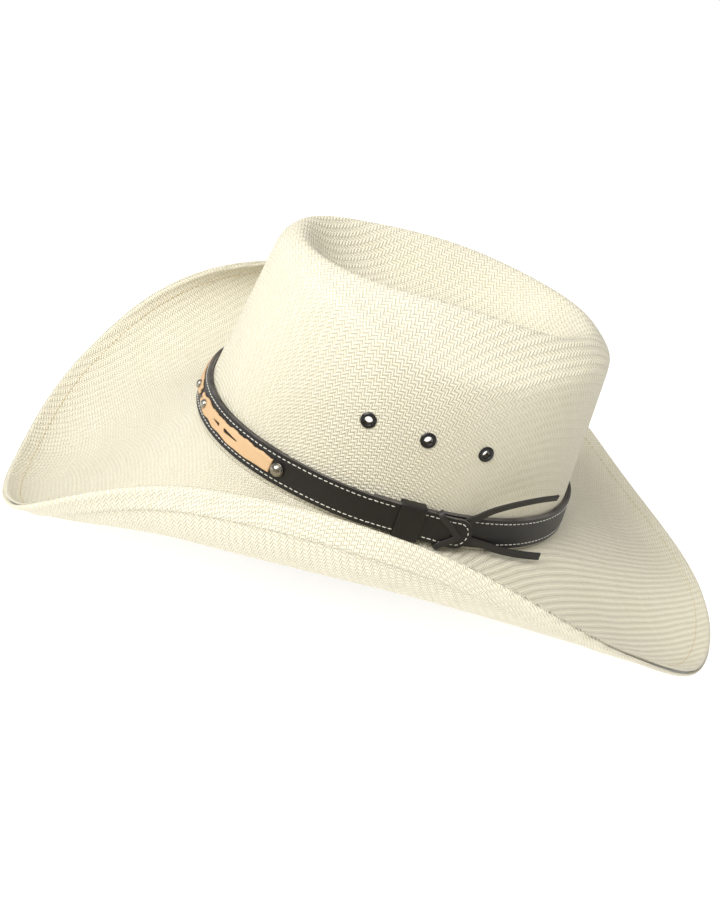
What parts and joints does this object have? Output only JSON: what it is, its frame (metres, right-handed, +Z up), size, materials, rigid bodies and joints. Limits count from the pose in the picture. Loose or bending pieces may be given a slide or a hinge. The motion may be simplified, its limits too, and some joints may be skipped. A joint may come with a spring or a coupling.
{
  "type": "cowboy hat",
  "caption": "Western straw hat with a creased crown, curled brim with wired edge, leather sweatband, vent eyelets and a lift-off studded leather hatband with lace ends.",
  "frame": {"origin": "centre of the hat's bounding box, on the surface it stands on", "axes": "+Z up, -Y towards the front of the hat, +X towards the wearer's left"},
  "size_m": [0.3484, 0.396, 0.1595],
  "materials": {
    "woven_straw": "matt woven straw",
    "steel_wire": "drawn wire",
    "brown_leather": "smooth",
    "black_plastic": "matt",
    "black_enamel": "gloss black",
    "nickel": "polished nickel",
    "black_leather": "satin",
    "raw_leather": "rough flesh side",
    "tan_leather": "natural, smooth"
  },
  "bodies": {
    "hat": {"crown": "woven_straw", "brim": "woven_straw", "brim_wire": "steel_wire", "sweatband": "brown_leather", "sweatband_reed": "black_plastic", "sweatband_seam_tape": "brown_leather", "left_eyelets": "black_enamel", "right_eyelets": "black_enamel", "left_eyelet_washers": "nickel", "right_eyelet_washers": "nickel"},
    "hatband": {"hatband_strap": "black_leather", "hatband_lining": "raw_leather", "band_keeper": "black_leather", "left_overlay": "tan_leather", "right_overlay": "tan_leather", "end_studs": "nickel", "front_studs": "nickel", "tie_lace": "black_leather"}
  },
  "joints": [
    {"name": "hatband_lift", "type": "slide", "parent": "hat", "child": "hatband", "axis": [0, 0.1045, 0.9945], "range_m": [0, 0.118]}
  ]
}
